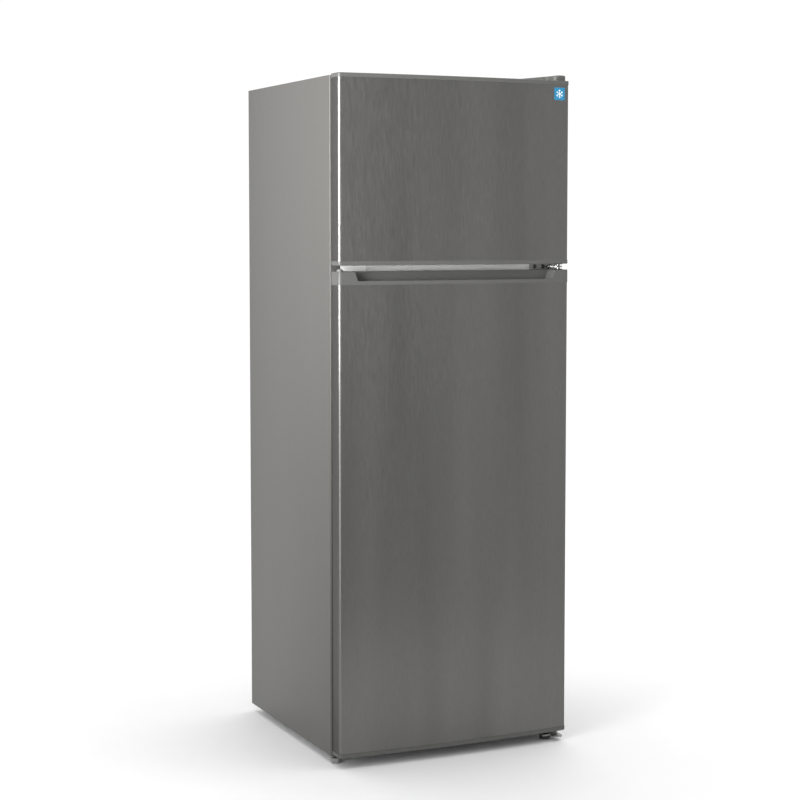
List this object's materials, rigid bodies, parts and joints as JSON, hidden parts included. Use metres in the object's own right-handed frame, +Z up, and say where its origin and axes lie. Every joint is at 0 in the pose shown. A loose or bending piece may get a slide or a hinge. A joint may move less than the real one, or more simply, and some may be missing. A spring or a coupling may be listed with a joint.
{
  "type": "top freezer refrigerator",
  "caption": "Free-standing top freezer refrigerator with bowed stainless doors on right-hand hinges, pocket handle, shelves, door bins, crisper and rear compressor.",
  "frame": {"origin": "middle of the bounding box's bottom face, on the floor under the centre of the cabinet", "axes": "+X to the hinge side (right from the front), -Y to the front where the doors are, +Z up"},
  "size_m": [0.54, 0.565, 1.451],
  "materials": {
    "cabinet_paint": "satin",
    "rail_paint": "satin",
    "galvanised_steel": "satin",
    "stainless": "satin",
    "grey_plastic": "matte",
    "light_plastic": "satin",
    "black_plastic": "matte",
    "white_plastic": "gloss",
    "white_liner": "satin",
    "clear_plastic": "gloss",
    "frosted_plastic": "matte",
    "shelf_glass": "polished",
    "insulation_foam": "matte",
    "gasket_rubber": "matte",
    "black_rubber": "matte",
    "zinc_steel": "satin",
    "dark_steel": "satin",
    "black_enamel": "satin",
    "copper": "satin",
    "bare_aluminium": "satin",
    "blue_label": "satin"
  },
  "bodies": {
    "cabinet": {"side_panel_left": "cabinet_paint", "side_panel_right": "cabinet_paint", "top_panel": "cabinet_paint", "back_panel": "galvanised_steel", "base_pan": "galvanised_steel", "cabinet_foam": "insulation_foam", "centre_crossrail": "rail_paint", "crossrail_hole_cover": "light_plastic", "freezer_liner": "white_liner", "fridge_liner": "white_liner", "top_hinge": "zinc_steel", "top_hinge_cover": "grey_plastic", "middle_hinge": "zinc_steel", "bottom_hinge": "zinc_steel", "hinge_screws": "dark_steel", "evaporator_cover": "white_plastic", "evaporator": "bare_aluminium", "fan_motor": "black_plastic", "freezer_shelf": "white_plastic", "glass_shelves": "shelf_glass", "shelf_trims": "white_plastic", "crisper_cover": "shelf_glass", "control_housing": "white_plastic", "lamp_cover": "frosted_plastic", "compressor_base_plate": "galvanised_steel", "compressor": "black_enamel", "compressor_mounts": "black_rubber", "start_relay_cover": "black_plastic", "drip_tray": "black_plastic", "cord_inlet": "black_plastic", "condenser": "black_enamel", "wall_spacers": "black_plastic", "refrigerant_tubes": "copper"},
    "freezer_door": {"freezer_door_skin": "stainless", "freezer_door_top_cap": "grey_plastic", "freezer_door_bottom_cap": "grey_plastic", "freezer_door_liner": "white_liner", "freezer_door_foam": "insulation_foam", "freezer_door_gasket": "gasket_rubber", "freezer_door_bushes": "black_plastic", "freezer_door_bins": "clear_plastic", "door_label": "blue_label"},
    "fridge_door": {"fridge_door_skin": "stainless", "fridge_door_handle_cap": "grey_plastic", "fridge_door_bottom_cap": "grey_plastic", "fridge_door_liner": "white_liner", "fridge_door_foam": "insulation_foam", "fridge_door_gasket": "gasket_rubber", "fridge_door_bushes": "black_plastic", "fridge_door_bins": "clear_plastic", "hinge_hole_plug": "light_plastic"},
    "dairy_flap": {"dairy_flap": "clear_plastic"},
    "crisper_drawer": {"crisper_drawer": "clear_plastic"},
    "thermostat_knob": {"thermostat_knob": "white_plastic"},
    "light_switch": {"light_switch": "white_plastic"},
    "evaporator_fan": {"evaporator_fan": "white_plastic"},
    "rear_roller_left": {"rear_roller_left": "black_plastic"},
    "rear_roller_right": {"rear_roller_right": "black_plastic"},
    "front_foot_left": {"front_foot_left": "light_plastic"},
    "front_foot_right": {"front_foot_right": "black_plastic"}
  },
  "joints": [
    {"name": "freezer_door_hinge", "type": "hinge", "parent": "cabinet", "child": "freezer_door", "pos_m": [0.257, -0.2485, 1.24], "axis": [0, 0, 1], "range_deg": [0, 120]},
    {"name": "fridge_door_hinge", "type": "hinge", "parent": "cabinet", "child": "fridge_door", "pos_m": [0.257, -0.2485, 0.53], "axis": [0, 0, 1], "range_deg": [0, 120]},
    {"name": "dairy_flap_hinge", "type": "hinge", "parent": "fridge_door", "child": "dairy_flap", "pos_m": [0, -0.1295, 0.9585], "axis": [1, 0, 0], "range_deg": [0, 80]},
    {"name": "crisper_drawer_slide", "type": "slide", "parent": "cabinet", "child": "crisper_drawer", "axis": [0, -1, 0], "range_m": [0, 0.13]},
    {"name": "thermostat_turn", "type": "hinge", "parent": "cabinet", "child": "thermostat_knob", "pos_m": [-0.062, -0.034, 0.986], "axis": [0, -1, 0], "range_deg": [0, 300]},
    {"name": "light_switch_press", "type": "slide", "parent": "cabinet", "child": "light_switch", "axis": [0, 1, 0], "range_m": [0, 0.004], "stiffness_N_per_m": 200, "springref_m": -0.002},
    {"name": "evaporator_fan_spin", "type": "hinge", "parent": "cabinet", "child": "evaporator_fan", "pos_m": [0, 0.168, 1.305], "axis": [0, 1, 0], "continuous": true},
    {"name": "rear_roller_left_spin", "type": "hinge", "parent": "cabinet", "child": "rear_roller_left", "pos_m": [-0.2, 0.226, 0.0095], "axis": [1, 0, 0], "continuous": true},
    {"name": "rear_roller_right_spin", "type": "hinge", "parent": "cabinet", "child": "rear_roller_right", "pos_m": [0.2, 0.226, 0.0095], "axis": [1, 0, 0], "continuous": true},
    {"name": "front_foot_left_turn", "type": "hinge", "parent": "cabinet", "child": "front_foot_left", "pos_m": [-0.254, -0.2145, 0], "axis": [0, 0, 1], "range_deg": [-720, 720]},
    {"name": "front_foot_right_turn", "type": "hinge", "parent": "cabinet", "child": "front_foot_right", "pos_m": [0.237, -0.2375, 0], "axis": [0, 0, 1], "range_deg": [-720, 720]}
  ],
  "couplings": [
    {"joint": "crisper_drawer_slide", "follows": "fridge_door_hinge", "m_per_rad": 0.062}
  ]
}
